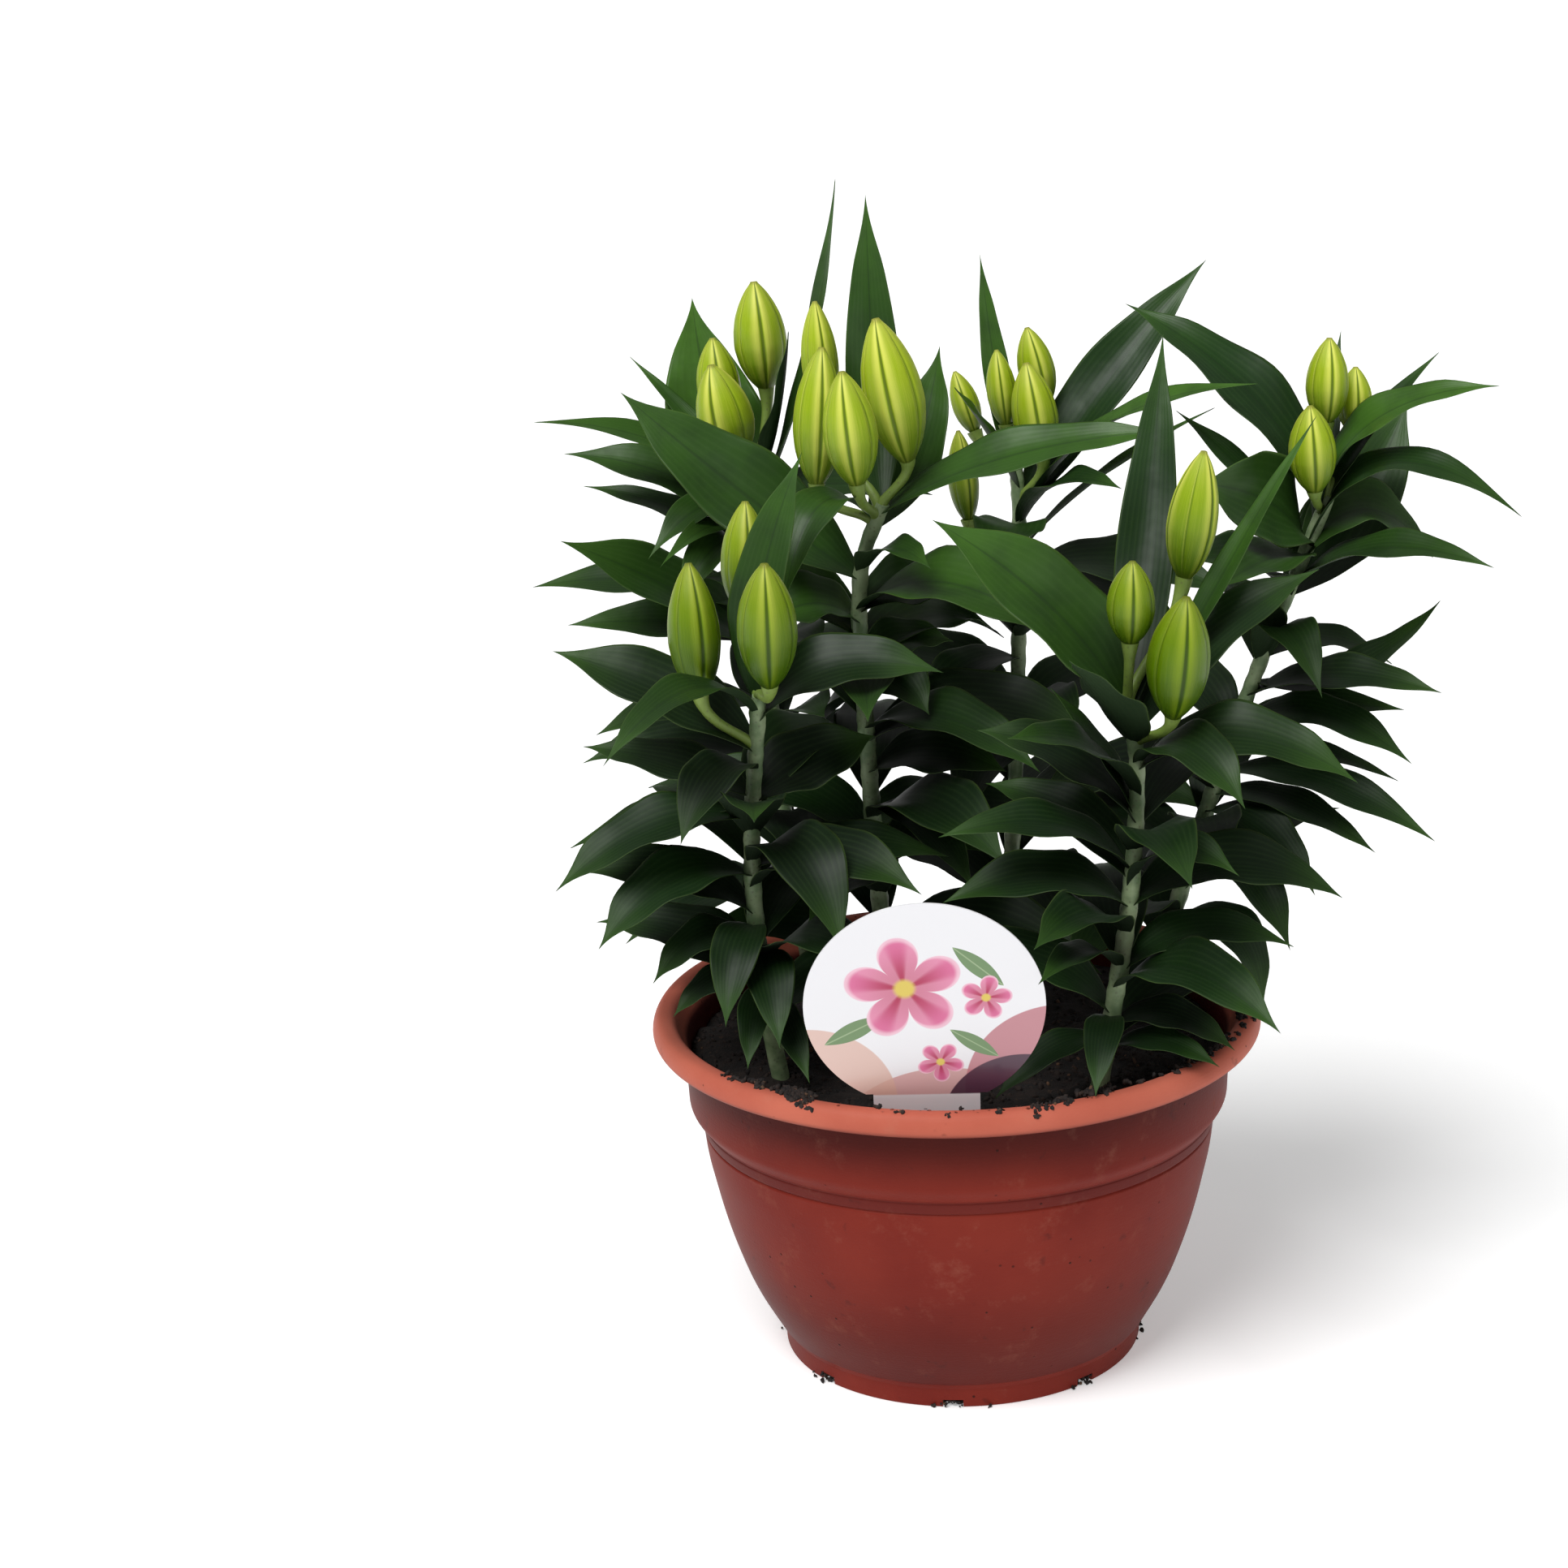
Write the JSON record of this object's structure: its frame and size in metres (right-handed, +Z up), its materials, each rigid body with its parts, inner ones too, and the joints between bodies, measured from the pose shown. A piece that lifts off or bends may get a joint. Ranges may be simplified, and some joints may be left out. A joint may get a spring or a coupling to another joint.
{
  "type": "potted oriental lily",
  "caption": "Oriental lily in bud in a shallow terracotta-coloured plastic bowl: leafy stems with closed flower buds, potting soil, bulbs and a round card label on a stake.",
  "frame": {"origin": "the centre of the pot's underside, on the surface that the pot stands on", "axes": "+Z is up along the plants and the longest extent, -Y is the front, where the label stands, and +X is to the right seen from the front"},
  "size_m": [0.441, 0.3262, 0.516],
  "materials": {
    "pot": "terracotta-coloured moulded plastic, satin, a little dusty",
    "soil": "moist dark brown potting soil, crumbly and matte",
    "stem": "glossy dark green leaves with fine lengthwise veins, satin grey-green stems",
    "bud": "smooth yellow-green buds with a grooved dark green line on each petal, satin",
    "bulb": "pale fleshy bulb scales, satin",
    "label": "printed card with a smooth glossy coating"
  },
  "bodies": {
    "root": {"pot": "pot", "soil": "soil", "label": "label", "bulb_a": "bulb", "leafy_stem_a": "stem", "bud_a1": "bud", "bud_a2": "bud", "bud_a3": "bud", "bulb_b": "bulb", "leafy_stem_b": "stem", "bud_b1": "bud", "bud_b2": "bud", "bud_b3": "bud", "bud_b4": "bud", "bulb_c": "bulb", "leafy_stem_c": "stem", "bud_c1": "bud", "bud_c2": "bud", "bud_c3": "bud", "bulb_d": "bulb", "leafy_stem_d": "stem", "bud_d1": "bud", "bud_d2": "bud", "bud_d3": "bud", "bud_d4": "bud", "bud_d5": "bud", "bulb_e": "bulb", "leafy_stem_e": "stem", "bud_e1": "bud", "bud_e2": "bud", "bud_e3": "bud", "bulb_f": "bulb", "leafy_stem_f": "stem", "bud_f1": "bud", "bud_f2": "bud", "bud_f3": "bud"}
  },
  "joints": []
}
